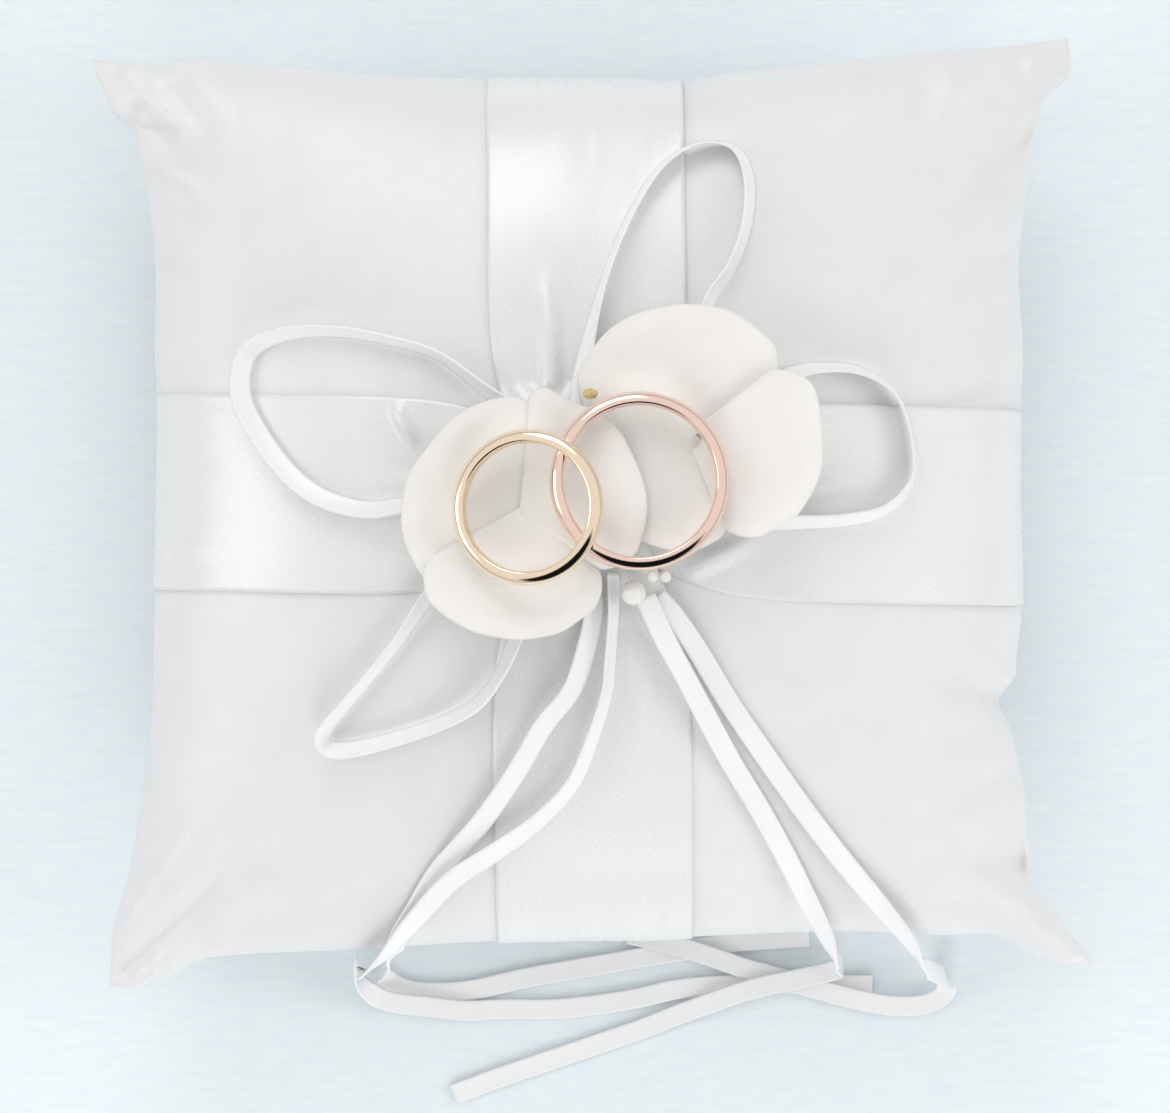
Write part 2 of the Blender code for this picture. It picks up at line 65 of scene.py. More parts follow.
makeCamera()


def newMaterial(name, colour, roughness, **settings):
    made = bpy.data.materials.new(name)
    made.use_nodes = True
    shader = made.node_tree.nodes["Principled BSDF"]
    shader.inputs["Base Color"].default_value = (*colour, 1)
    shader.inputs["Roughness"].default_value = roughness
    for socket, value in settings.items():
        shader.inputs[socket.replace("_", " ")].default_value = value
    return made, made.node_tree, shader


def node(tree, kind, inputs=None, **settings):
    made = tree.nodes.new(kind)
    for key, value in settings.items():
        setattr(made, key, value)
    for key, value in (inputs or {}).items():
        if hasattr(value, "is_output"):
            tree.links.new(value, made.inputs[key])
        else:
            made.inputs[key].default_value = value
    return made


def coordinates(tree, source, scale, turn=0.0):
    # source is Object, or UV for a strip of cloth whose map is in metres
    start = node(tree, "ShaderNodeTexCoord")
    settings = {"Vector": start.outputs[source], "Scale": scale, "Rotation": (0, 0, turn)}
    return node(tree, "ShaderNodeMapping", settings).outputs["Vector"]


def noiseOn(tree, source, scale, **inputs):
    place = {"Vector": coordinates(tree, source, scale), "Scale": 1.0, **inputs}
    return node(tree, "ShaderNodeTexNoise", place).outputs["Fac"]


def combined(tree, operation, *values):
    return node(tree, "ShaderNodeMath", dict(enumerate(values)), operation=operation).outputs["Value"]


def blended(tree, share, first, second):
    mixed = node(tree, "ShaderNodeMix", {"Factor": share}, data_type="RGBA")
    for key, value in (("A", first), ("B", second)):
        socket = next(s for s in mixed.inputs if s.name == key and s.type == "RGBA")
        socket.default_value = (*value, 1)
    return next(s for s in mixed.outputs if s.type == "RGBA")


def graded(tree, value, low, high, start=0.0, end=1.0):
    return node(
        tree, "ShaderNodeMapRange",
        {"Value": value, "From Min": low, "From Max": high, "To Min": start, "To Max": end},
    ).outputs["Result"]


def raised(tree, shader, height, depth, normal=None):
    # depth is how deep the relief is, in metres
    bump = node(tree, "ShaderNodeBump", {"Height": height, "Distance": depth, "Strength": 1.0})
    if normal:
        tree.links.new(normal, bump.inputs["Normal"])
    tree.links.new(bump.outputs["Normal"], shader.inputs["Normal"])
    return bump.outputs["Normal"]


def cottonSatin(name, light, shade):
    # the cover: dull satin with fine slubs in both directions
    made, tree, shader = newMaterial(name, light, 0.38, Sheen_Weight=0.3, Sheen_Roughness=0.4, IOR=1.7)
    warp = noiseOn(tree, "Object", (5200, 260, 900))
    weft = noiseOn(tree, "Object", (260, 5200, 900))
    cloudy = noiseOn(tree, "Object", (28, 28, 28), Scale=5.0, Detail=3)
    toned = blended(tree, graded(tree, cloudy, 0.3, 0.7), light, shade)
    tree.links.new(toned, shader.inputs["Base Color"])
    tree.links.new(graded(tree, warp, 0.3, 0.7, 0.34, 0.46), shader.inputs["Roughness"])
    raised(tree, shader, combined(tree, "ADD", warp, weft), 0.00003)
    return made


# the woven edge of a ribbon: where it starts and ends, one rib's length, and its height against the threads
selvedge = {"inside": 0.00045, "outside": 0.00030, "rib": 0.0006, "height": 1.6}


def ribbonSatin(name, light, shade, roughness, width):
    # glossy satin whose threads float across the strip, with a ribbed selvedge at each edge
    sheen = {"Sheen_Weight": 0.05, "Sheen_Roughness": 0.4}
    made, tree, shader = newMaterial(name, light, roughness, IOR=1.8, **sheen)
    threads = noiseOn(tree, "UV", (7000, 1500, 1))
    warp = noiseOn(tree, "UV", (900, 5600, 1))
    streaks = noiseOn(tree, "UV", (90, 45, 1), Detail=0)
    place = node(tree, "ShaderNodeSeparateXYZ", {"Vector": coordinates(tree, "UV", (1, 1, 1))})
    fromMiddle = combined(tree, "ABSOLUTE", place.outputs["Y"])
    edge = graded(tree, fromMiddle, width / 2 - selvedge["inside"], width / 2 - selvedge["outside"])
    ribPhase = combined(tree, "MULTIPLY", place.outputs["X"], math.tau / selvedge["rib"])
    ribs = combined(tree, "MULTIPLY", combined(tree, "SINE", ribPhase), edge)
    weave = combined(tree, "ADD", threads, warp)
    relief = combined(tree, "MULTIPLY_ADD", ribs, selvedge["height"], weave)
    toned = blended(tree, graded(tree, streaks, 0.3, 0.7), light, shade)
    tree.links.new(toned, shader.inputs["Base Color"])
    glossiness = graded(tree, threads, 0.3, 0.7, roughness - 0.02, roughness + 0.02)
    tree.links.new(glossiness, shader.inputs["Roughness"])
    raised(tree, shader, relief, 0.000003)
    return made


def petalCloth(name, light, shade):
    # ivory crepe: matt, with soft creases that run out from the petal's root
    made, tree, shader = newMaterial(name, light, 0.72, Sheen_Weight=0.25, Sheen_Roughness=0.6)
    cloudy = noiseOn(tree, "Object", (160, 160, 160))
    toned = blended(tree, graded(tree, cloudy, 0.35, 0.65), light, shade)
    tree.links.new(toned, shader.inputs["Base Color"])
    creased = raised(tree, shader, noiseOn(tree, "UV", (420, 60, 1), Detail=3), 0.00012)
    raised(tree, shader, noiseOn(tree, "Object", (3000, 3000, 3000)), 0.00002, creased)
    return made


def polishedGold(name, colour):
    made, tree, shader = newMaterial(name, colour, 0.07, Metallic=1.0)
    wear = noiseOn(tree, "Object", (900, 900, 90), Scale=5.0, Detail=4)
    tree.links.new(graded(tree, wear, 0.35, 0.75, 0.05, 0.13), shader.inputs["Roughness"])
    raised(tree, shader, wear, 0.000002)
    return made


def pearlLustre(name, light, shade):
    made, tree, shader = newMaterial(name, light, 0.16, Coat_Weight=0.8, Coat_Roughness=0.06)
    # painted shade: the colour goes from the pale tone where the pearl faces the view to the darker tone at
    # its rim
    rim = node(tree, "ShaderNodeLayerWeight", {"Blend": 0.35})
    tree.links.new(blended(tree, rim.outputs["Facing"], light, shade), shader.inputs["Base Color"])
    cloudy = noiseOn(tree, "Object", (700, 700, 700))
    tree.links.new(graded(tree, cloudy, 0.3, 0.7, 0.12, 0.22), shader.inputs["Roughness"])
    return made


def waxedBead(name, light, shade):
    made, tree, shader = newMaterial(name, light, 0.45)
    mottled = noiseOn(tree, "Object", (1500, 1500, 1500))
    toned = blended(tree, graded(tree, mottled, 0.35, 0.65), light, shade)
    tree.links.new(toned, shader.inputs["Base Color"])
    raised(tree, shader, mottled, 0.00005)
    return made


def twistedThread(name, light, shade):
    made, tree, shader = newMaterial(name, light, 0.7)
    twist = coordinates(tree, "Object", (2400, 2400, 2400), 0.7)
    plies = node(tree, "ShaderNodeTexWave", {"Vector": twist, "Scale": 1.0})
    toned = blended(tree, plies.outputs["Fac"], light, shade)
    tree.links.new(toned, shader.inputs["Base Color"])
    raised(tree, shader, plies.outputs["Fac"], 0.00005)
    return made


bandWidth = 0.030
ribbonWidth = 0.0032
finishes = {
    "cover": cottonSatin("coverSatin", (0.79, 0.785, 0.785), (0.76, 0.76, 0.76)),
    "band": ribbonSatin("bandSatin", (0.80, 0.80, 0.80), (0.785, 0.785, 0.785), 0.27, bandWidth),
    "ribbon": ribbonSatin("narrowSatin", (0.905, 0.905, 0.905), (0.885, 0.885, 0.885), 0.34, ribbonWidth),
    "petal": petalCloth("petalCloth", (0.865, 0.845, 0.812), (0.845, 0.822, 0.78)),
    "gold": polishedGold("yellowGold", (0.96, 0.79, 0.60)),
    "rose": polishedGold("roseGold", (0.95, 0.72, 0.62)),
    # the pearl's second colour is painted shade for its rim
    "pearl": pearlLustre("pearlLustre", (0.88, 0.87, 0.84), (0.62, 0.60, 0.54)),
    "amber": waxedBead("stamenBeige", (0.72, 0.58, 0.30), (0.55, 0.40, 0.16)),
    "thread": twistedThread("sewingThread", (0.88, 0.87, 0.84), (0.76, 0.75, 0.72)),
}
print("materials:", len(finishes))


def smoothStep(value):
    value = min(max(value, 0.0), 1.0)
    return value * value * (3 - 2 * value)


def along(stops, where):
    # a smooth curve through (where, value) stops
    for i in range(len(stops) - 1):
        start, end = stops[i], stops[i + 1]
        if where <= end[0] or i == len(stops) - 2:
            share = smoothStep((where - start[0]) / (end[0] - start[0]))
            return start[1] + (end[1] - start[1]) * share
    return stops[-1][1]


def placeMesh(name, bm, finish):
    mesh = bpy.data.meshes.new(name)
    bm.to_mesh(mesh)
    bm.free()
    mesh.shade_smooth()
    mesh.materials.append(finish)
    piece = bpy.data.objects.new(name, mesh)
    bpy.context.scene.collection.objects.link(piece)
    return piece


def clothStrip(name, cells, shape, finish, thickness):
    # shape gives a point and its place on the cloth in metres, for each u and v from -1 to 1
    bm = bmesh.new()
    weave = bm.loops.layers.uv.new("weave")
    bmesh.ops.create_grid(bm, x_segments=cells[0], y_segments=cells[1], size=1.0)
    flatPlaces = {}
    for vert in bm.verts:
        point, flatPlaces[vert] = shape(vert.co.x, vert.co.y)
        vert.co = point
    for face in bm.faces:
        for loop in face.loops:
            loop[weave].uv = flatPlaces[loop.vert]
    bmesh.ops.recalc_face_normals(bm, faces=bm.faces)
    if sum(face.normal.z * face.calc_area() for face in bm.faces) < 0:
        bmesh.ops.reverse_faces(bm, faces=bm.faces)
    piece = placeMesh(name, bm, finish)
    wall = piece.modifiers.new("cloth", "SOLIDIFY")
    wall.thickness = thickness
    wall.offset = 0.0
    return piece


coverLow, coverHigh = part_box("cover_top_panel")
cushion = {
    "halfX": coverHigh.x, "halfY": coverHigh.y,  # middle to corner tip
    "pullX": 0.125, "pullY": 0.078,  # how far the sides draw in between the corners
    "seam": coverLow.z, "crown": coverHigh.z - coverLow.z, "belly": 0.0305,
    "groove": 0.0075, "grooveWidth": 0.0006, "sewn": 0.03,  # the seam, as shares of a half side
    "lump": 0.00035, "lumpsPerMetre": 38, "bellyRelief": 0.8, "cells": 150,
}


def crownFullness(across, upward):
    return math.sqrt(max((1 - across**2) * (1 - upward**2), 0.0))


def acrossUpward(x, y):
    across = upward = 0.0
    for _ in range(8):
        across = x / (cushion["halfX"] * (1 - cushion["pullX"] * (1 - upward**2)))
        upward = y / (cushion["halfY"] * (1 - cushion["pullY"] * (1 - across**2)))
    return across, upward


def crownHeight(x, y):
    return cushion["seam"] + cushion["crown"] * crownFullness(*acrossUpward(x, y))


def crownNormal(x, y):
    step = 0.0005
    riseX = (crownHeight(x + step, y) - crownHeight(x - step, y)) / (2 * step)
    riseY = (crownHeight(x, y + step) - crownHeight(x, y - step)) / (2 * step)
    return Vector((-riseX, -riseY, 1.0)).normalized()


def distanceTo(point, start, end):
    line = end - start
    share = min(max((point - start).dot(line) / line.length_squared, 0.0), 1.0)
    return (point - start - line * share).length, share


band = {
    "halfWidth": 0.0150, "thickness": 0.0003, "waist": 0.0070, "waistReach": 0.0150,
    "lift": 0.00035, "step": 0.0011, "stepReach": 0.0140, "stepRun": 0.0060,
    "easeStart": 0.005, "easeRun": 0.003,  # how a ribbon over it comes down beside its edge
    "reach": 0.985, "sewn": 0.02, "flatEdge": 0.12, "deepest": -0.0002, "cells": (260, 40),
}
bands = {
    "horizontal_band": {"lengthwise": 0, "sway": (0.0031, 0.0006), "over": 0, "length": 0.166},
    "vertical_band": {"lengthwise": 1, "sway": (0.0004, -0.0012), "over": 1, "length": 0.160},
}


def bandLift(off, over):
    raisedBy = over * band["step"] * (1 - smoothStep((abs(off) - band["stepReach"]) / band["stepRun"]))
    return band["lift"] + raisedBy


def bandHalfWidth(off):
    return band["halfWidth"] - band["waist"] * math.exp(-((off / band["waistReach"]) ** 2))


def midSide(lengthwise):
    if lengthwise == 0:
        return cushion["halfX"] * (1 - cushion["pullX"])
    return cushion["halfY"] * (1 - cushion["pullY"])


def bandMiddle(settings, off):
    first, last = settings["sway"]
    return first + (last - first) * (off / midSide(settings["lengthwise"]) + 1) / 2


def bandsTop(x, y):
    # height of the bands' upper face over the cover, easing in just outside their edges
    top = 0.0
    for settings in bands.values():
        off, aside = (x, y) if settings["lengthwise"] == 0 else (y, x)
        outside = abs(aside - bandMiddle(settings, off)) - bandHalfWidth(off)
        thick = bandLift(off, settings["over"]) + band["thickness"]
        top = max(top, thick * smoothStep((band["easeStart"] - outside) / band["easeRun"]))
    return top


ribbon = {
    "thickness": 0.00035, "halfUnder": 0.00025, "cup": 0.00012, "spacing": 0.0006, "cellsAcross": 8,
    "loopClearance": 0.0005, "tableLift": 0.0010, "hangTurn": 0.009,
}

# bow loops: x, y, roll in degrees, where 0 is flat and 90 stands on its edge
loopRoutes = {
    "bow_loop_left_upper": (
        (-0.0050, 0.0105, 15), (-0.0095, 0.0135, 35), (-0.0153, 0.0174, 60), (-0.0228, 0.0230, 72),
        (-0.0303, 0.0254, 72), (-0.0379, 0.0268, 70), (-0.0455, 0.0266, 62), (-0.0508, 0.0244, 55),
        (-0.0521, 0.0199, 50), (-0.0513, 0.0154, 45), (-0.0478, 0.0093, 38), (-0.0439, 0.0047, 35),
        (-0.0393, 0.0017, 35), (-0.0333, 0.0002, 38), (-0.0280, 0.0008, 40), (-0.0215, 0.0015, 40),
    ),
    "bow_loop_right_upper": (
        (-0.0010, 0.0105, 15), (-0.0018, 0.0150, 15), (-0.0014, 0.0204, 32), (0.0011, 0.0317, 70),
        (0.0050, 0.0423, 68), (0.0103, 0.0508, 62), (0.0163, 0.0544, 55), (0.0216, 0.0539, 50),
        (0.0235, 0.0493, 55), (0.0230, 0.0424, 62), (0.0207, 0.0362, 65), (0.0177, 0.0317, 60),
        (0.0155, 0.0260, 38), (0.0150, 0.0215, 20),
    ),
    "bow_loop_right_lower": (
        (0.0255, 0.0180, 20), (0.0285, 0.0198, 38), (0.0326, 0.0212, 55), (0.0387, 0.0212, 60),
        (0.0433, 0.0190, 62), (0.0456, 0.0160, 62), (0.0471, 0.0108, 60), (0.0471, 0.0047, 58),
        (0.0432, 0.0002, 55), (0.0372, -0.0013, 55), (0.0296, -0.0016, 48), (0.0225, -0.0014, 22),
        (0.0150, -0.0008, 10), (0.0085, -0.0002, 8),
    ),
    "bow_loop_left_lower": (
        (-0.0165, -0.0070, 20), (-0.0198, -0.0088, 38), (-0.0236, -0.0118, 58), (-0.0288, -0.0193, 68),
        (-0.0349, -0.0268, 68), (-0.0394, -0.0321, 60), (-0.0402, -0.0346, 55), (-0.0380, -0.0357, 52),
        (-0.0319, -0.0346, 58), (-0.0228, -0.0316, 62), (-0.0168, -0.0282, 62), (-0.0131, -0.0230, 60),
        (-0.0115, -0.0192, 50), (-0.0100, -0.0150, 32), (-0.0088, -0.0118, 20),
    ),
}

# tails on the cushion: x, y, clearance under the ribbon, roll
tailsOnCushion = {
    "ribbon_tail_outer_left": (
        (-0.0010, -0.0095, 0.0004, 20), (0.0002, -0.0145, 0.0008, 25), (-0.0026, -0.0253, 0.0016, 28),
        (-0.0071, -0.0313, 0.0018, 25), (-0.0116, -0.0389, 0.0014, 20), (-0.0169, -0.0465, 0.0007, 10),
        (-0.0231, -0.0540, 0.0004, 2), (-0.0269, -0.0598, 0.0005, 10), (-0.0296, -0.0638, 0.0006, 16),
        (-0.0304, -0.0660, 0.0008, 32),
    ),
    "ribbon_tail_inner_left": (
        (0.0030, -0.0090, 0.0004, 55), (0.0031, -0.0145, 0.0006, 60), (0.0026, -0.0223, 0.0008, 60),
        (0.0021, -0.0268, 0.0008, 58), (-0.0003, -0.0343, 0.0008, 52), (-0.0031, -0.0404, 0.0008, 42),
        (-0.0082, -0.0457, 0.0010, 30), (-0.0145, -0.0500, 0.0018, 15), (-0.0210, -0.0546, 0.0019, 5),
        (-0.0266, -0.0602, 0.0018, 8), (-0.0318, -0.0647, 0.0026, 30), (-0.0349, -0.0669, 0.0030, 48),
    ),
    "ribbon_tail_outer_right": (
        (0.0094, -0.0125, 0.0004, 10), (0.0121, -0.0156, 0.0004, 10), (0.0158, -0.0210, 0.0004, 5),
        (0.0203, -0.0284, 0.0004, 0), (0.0253, -0.0357, 0.0005, 0), (0.0316, -0.0445, 0.0005, 0),
        (0.0377, -0.0524, 0.0005, 0), (0.0430, -0.0586, 0.0006, -8), (0.0480, -0.0640, 0.0008, -30),
        (0.0502, -0.0668, 0.0010, -56),
    ),
    "ribbon_tail_inner_right": (
        (0.0077, -0.0125, 0.0018, 5), (0.0105, -0.0185, 0.0024, 8), (0.0135, -0.0240, 0.0018, 20),
        (0.0174, -0.0313, 0.0012, 8), (0.0212, -0.0382, 0.0006, 0), (0.0250, -0.0444, 0.0005, 0),
        (0.0290, -0.0515, 0.0005, 0), (0.0328, -0.0587, 0.0006, -8), (0.0356, -0.0634, 0.0008, -30),
        (0.0368, -0.0658, 0.0010, -56),
    ),
}

# the same tails off the cushion's front edge and along the table: x, y, z
tailsOffCushion = {
    "ribbon_tail_outer_left": (
        (-0.0314, -0.0690, 0.0255), (-0.0325, -0.0710, 0.0150), (-0.0332, -0.0721, 0.0055),
        (-0.0323, -0.0735, 0.0012), (-0.0296, -0.0750, 0.0005), (-0.0255, -0.0756, 0.0005),
        (-0.0192, -0.0752, 0.0005), (-0.0097, -0.0731, 0.0005), (0.0013, -0.0712, 0.0005),
        (0.0092, -0.0698, 0.0005), (0.0170, -0.0686, 0.0005), (0.0249, -0.0674, 0.0005),
        (0.0343, -0.0668, 0.0005),
    ),
    "ribbon_tail_inner_left": (
        (-0.0364, -0.0700, 0.0262), (-0.0367, -0.0720, 0.0150), (-0.0364, -0.0736, 0.0070),
        (-0.0338, -0.0762, 0.0028), (-0.0302, -0.0773, 0.0018), (-0.0260, -0.0777, 0.0015),
        (-0.0200, -0.0784, 0.0012), (-0.0138, -0.0782, 0.0005), (-0.0069, -0.0782, 0.0005),
        (0.0000, -0.0776, 0.0005), (0.0070, -0.0765, 0.0005), (0.0139, -0.0750, 0.0005),
        (0.0220, -0.0744, 0.0005), (0.0290, -0.0741, 0.0005), (0.0361, -0.0744, 0.0005),
        (0.0443, -0.0744, 0.0005),
    ),
    "ribbon_tail_outer_right": (
        (0.0522, -0.0706, 0.0245), (0.0545, -0.0722, 0.0120), (0.0556, -0.0736, 0.0045),
        (0.0555, -0.0757, 0.0016), (0.0528, -0.0773, 0.0013), (0.0486, -0.0777, 0.0014),
        (0.0434, -0.0770, 0.0014), (0.0369, -0.0754, 0.0014), (0.0290, -0.0731, 0.0014),
        (0.0234, -0.0715, 0.0014), (0.0183, -0.0697, 0.0014), (0.0112, -0.0676, 0.0014),
        (0.0057, -0.0663, 0.0008),
    ),
    "ribbon_tail_inner_right": (
        (0.0378, -0.0694, 0.0250), (0.0388, -0.0706, 0.0130), (0.0391, -0.0713, 0.0055),
        (0.0376, -0.0721, 0.0026), (0.0326, -0.0733, 0.0024), (0.0276, -0.0743, 0.0024),
        (0.0229, -0.0756, 0.0019), (0.0183, -0.0773, 0.0014), (0.0129, -0.0793, 0.0008),
        (0.0076, -0.0814, 0.0005), (-0.0035, -0.0852, 0.0005), (-0.0138, -0.0887, 0.0005),
        (-0.0219, -0.0917, 0.0005),
    ),
}


def splinePoint(before, start, end, after, t):
    found = []
    for a, b, c, d in zip(before, start, end, after):
        bend = 2 * a - 5 * b + 4 * c - d
        twist = 3 * b - a - 3 * c + d
        found.append(0.5 * (2 * b + (c - a) * t + bend * t**2 + twist * t**3))
    return tuple(found)


def smoothRoute(points, spacing):
    # evenly spaced points on a smooth curve through the given ones
    dense = []
    last = len(points) - 1
    for i in range(last):
        around = (points[max(i - 1, 0)], points[i], points[i + 1], points[min(i + 2, last)])
        dense += [splinePoint(*around, step / 16) for step in range(16)]
    dense.append(tuple(points[-1]))
    lengths = [0.0]
    for a, b in zip(dense, dense[1:]):
        lengths.append(lengths[-1] + math.dist(a[:3], b[:3]))
    count = max(2, round(lengths[-1] / spacing))
    route = []
    i = 1
    for step in range(count + 1):
        wanted = lengths[-1] * step / count
        while i < len(lengths) - 1 and lengths[i] < wanted:
            i += 1
        share = (wanted - lengths[i - 1]) / (lengths[i] - lengths[i - 1])
        route.append(tuple(a + (b - a) * share for a, b in zip(dense[i - 1], dense[i])))
    return route, lengths[-1]


def restingPoint(x, y, clearance, roll):
    angle = math.radians(roll)
    half = abs(math.sin(angle)) * ribbonWidth / 2 + abs(math.cos(angle)) * ribbon["halfUnder"]
    normal = crownNormal(x, y)
    centre = Vector((x, y, crownHeight(x, y))) + (bandsTop(x, y) + clearance + half) * normal
    return (*centre, roll, *normal)


def hangingPoint(x, y, z, turnedTo):
    # on its edge as it hangs, flat on the table
    hang = smoothStep((z - ribbon["tableLift"]) / ribbon["hangTurn"])
    facing = Vector((turnedTo * hang, 0.0, 1.0 - hang)).normalized()
    return (x, y, z, 0.0, *facing)


def makeRibbon(name, routePoints):
    route, length = smoothRoute(routePoints, ribbon["spacing"])
    last = len(route) - 1

    def shape(u, v):
        i = round((u + 1) / 2 * last)
        here = Vector(route[i][:3])
        forward = (Vector(route[min(i + 1, last)][:3]) - Vector(route[max(i - 1, 0)][:3])).normalized()
        side = forward.cross(Vector(route[i][4:7])).normalized()
        up = side.cross(forward).normalized()
        roll = math.radians(route[i][3])
        width = side * math.cos(roll) + up * math.sin(roll)
        face = width.cross(forward).normalized()
        cupped = ribbon["cup"] * (v * v - 0.5)
        point = here + width * (v * ribbonWidth / 2) + face * cupped
        return point, ((u + 1) / 2 * length, v * ribbonWidth / 2)

    cells = (last, ribbon["cellsAcross"])
    piece = clothStrip(name + "_satin", cells, shape, finishes["ribbon"], ribbon["thickness"])
    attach(piece, "pillow")
    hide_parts(name)
    path = [point[:3] for point in route[::4]] + [route[-1][:3]]
    return piece, path, length


for tailName, tailPoints in tailsOnCushion.items():
    tailRoute = [restingPoint(*point) for point in tailPoints]
    turnedTo = math.copysign(1.0, -tailsOffCushion[tailName][0][0])
    tailRoute += [hangingPoint(*point, turnedTo) for point in tailsOffCushion[tailName]]
    tail, tailPath, tailLength = makeRibbon(tailName, tailRoute)
    print(f"{tailName}: {tailLength * 1000:.0f} mm")

for loopName, loopPoints in loopRoutes.items():
    loopRoute = [restingPoint(x, y, ribbon["loopClearance"], roll) for x, y, roll in loopPoints]
    loop, loopPath, loopLength = makeRibbon(loopName, loopRoute)
    print(f"{loopName}: {loopLength * 1000:.0f} mm")


# how far the sewn edge strays from an even curve, in metres outwards, along each side
sideStray = {
    "back": (
        (-1, -0.0013), (-0.88, -0.0009), (-0.79, 0.0007), (-0.43, 0.0008), (0.06, 0.0008),
        (0.15, 0.0003), (0.33, 0.0020), (0.60, 0.0027), (1, 0.0020),
    ),
    "front": (
        (-1, 0.0018), (-0.95, 0.0029), (-0.87, 0.0017), (-0.79, -0.0004), (-0.46, 0.0005),
        (0.06, 0), (0.66, -0.0029), (0.81, -0.0041), (0.93, -0.0010), (1, -0.0012),
    ),
    "left": (
        (-1, -0.0010), (-0.88, 0.0002), (-0.76, -0.0005), (-0.49, -0.0002), (-0.18, 0.0009),
        (0.29, 0.0002), (0.63, -0.0020), (0.83, -0.0022), (0.88, 0.0008), (1, 0.0017),
    ),
    "right": (
        (-1, 0.0018), (-0.88, -0.0014), (-0.82, -0.0048), (-0.72, -0.0039), (-0.60, -0.0030),
        (-0.48, -0.0036), (-0.41, -0.0052), (-0.35, -0.0020), (-0.20, -0.0004), (0.29, -0.0007),
        (0.60, -0.0035), (0.81, -0.0041), (0.88, -0.0038), (0.93, -0.0006), (1, -0.0021),
    ),
}
# creases of the crown: start, end, half width and depth, where a negative depth is a ridge
crownCreases = (
    ((-0.0715, -0.0700), (-0.0480, -0.0480), 0.0019, 0.0020),
    ((-0.0725, -0.0640), (-0.0540, -0.0400), 0.0024, -0.0012),
    ((-0.0610, -0.0640), (-0.0330, -0.0590), 0.0034, 0.0010),
    ((-0.0610, -0.0560), (-0.0360, -0.0480), 0.0040, -0.0006),
    ((0.0690, 0.0600), (0.0540, 0.0430), 0.0022, 0.0020),
    ((0.0660, 0.0540), (0.0590, 0.0310), 0.0026, -0.0010),
    ((0.0640, 0.0640), (0.0520, 0.0570), 0.0026, -0.0008),
    ((0.0748, -0.0680), (0.0530, -0.0530), 0.0020, -0.0017),
    ((0.0650, -0.0535), (0.0560, -0.0480), 0.0036, 0.0024),
    ((0.0640, -0.0610), (0.0480, -0.0570), 0.0026, 0.0012),
    ((0.0610, -0.0500), (0.0430, -0.0465), 0.0030, -0.0010),
    ((0.0650, -0.0400), (0.0500, -0.0450), 0.0022, 0.0013),
    ((0.0640, -0.0290), (0.0470, -0.0225), 0.0021, 0.0018),
    ((0.0645, -0.0320), (0.0500, -0.0360), 0.0018, 0.0014),
    ((0.0640, -0.0255), (0.0530, -0.0160), 0.0018, -0.0008),
    ((-0.0690, 0.0610), (-0.0600, 0.0520), 0.0018, 0.0020),
    ((-0.0670, 0.0510), (-0.0570, 0.0440), 0.0017, 0.0012),
    ((-0.0640, 0.0640), (-0.0560, 0.0560), 0.0018, 0.0010),
    ((-0.0660, 0.0380), (-0.0600, 0.0340), 0.0016, 0.0008),
    ((0.0645, 0.0200), (0.0500, 0.0150), 0.0018, 0.0011),
    ((0.0645, 0.0400), (0.0520, 0.0320), 0.0019, 0.0013),
    ((0.0650, 0.0300), (0.0540, 0.0270), 0.0016, 0.0008),
)


creaseFade = 0.6  # the share of a crease over which its far end dies out

# gathers along the sewn edge: how close they are, then their depth and run in metres
pucker = {
    "coarse": 17, "fine": 41, "uneven": 9,
    "depth": 0.0009, "run": 0.007, "spread": 0.006, "shortest": 0.002, "easeIn": 0.0015,
}


def edgePucker(across, upward):
    # short gathers square to the sewn edge, deepest at the seam
    deep = 0.0
    for edge, run, offset in ((across, upward, 3.1), (upward, across, 7.7)):
        off = (1 - abs(edge)) * cushion["halfY"]
        seed = offset + (5.3 if edge > 0 else 0.0)
        ripple = noise.noise(Vector((run * pucker["coarse"], seed, off * 30)))
        ripple += 0.5 * noise.noise(Vector((run * pucker["fine"], seed, 9.0)))
        reach = pucker["run"] + pucker["spread"] * noise.noise(Vector((run * pucker["uneven"], seed, 2.0)))
        fade = math.exp(-((off / max(reach, pucker["shortest"])) ** 1.5))
        deep += pucker["depth"] * ripple * fade * smoothStep(off / pucker["easeIn"])
    return deep


def crownRelief(x, y, across, upward):
    often = cushion["lumpsPerMetre"]
    lumps = cushion["lump"] * noise.noise(Vector((x * often, y * often, 1.5)))
    deep = lumps * crownFullness(across, upward) + edgePucker(across, upward)
    here = Vector((x, y))
    for start, end, halfWidth, depth in crownCreases:
        off, share = distanceTo(here, Vector(start), Vector(end))
        deep -= depth * smoothStep((1 - share) / creaseFade) * math.exp(-((off / halfWidth) ** 2))
    return deep


def cushionPoint(across, upward, side):
    x = cushion["halfX"] * across * (1 - cushion["pullX"] * (1 - upward**2))
    y = cushion["halfY"] * upward * (1 - cushion["pullY"] * (1 - across**2))
    strayX = along(sideStray["right" if across > 0 else "left"], upward)
    strayY = along(sideStray["back" if upward > 0 else "front"], across)
    x += strayX * across**5
    y += strayY * upward**5
    depth = cushion["crown"] if side > 0 else cushion["belly"]
    height = side * depth * crownFullness(across, upward)
    edge = max(abs(across), abs(upward))
    drawnIn = 1 - cushion["groove"] * (1 - smoothStep((1 - edge) / cushion["grooveWidth"]))
    relief = crownRelief(x, y, across, upward) * (1.0 if side > 0 else cushion["bellyRelief"])
    sewn = smoothStep((1 - edge) / cushion["sewn"])
    return Vector((x * drawnIn, y * drawnIn, max(cushion["seam"] + height + side * relief * sewn, 0.0)))


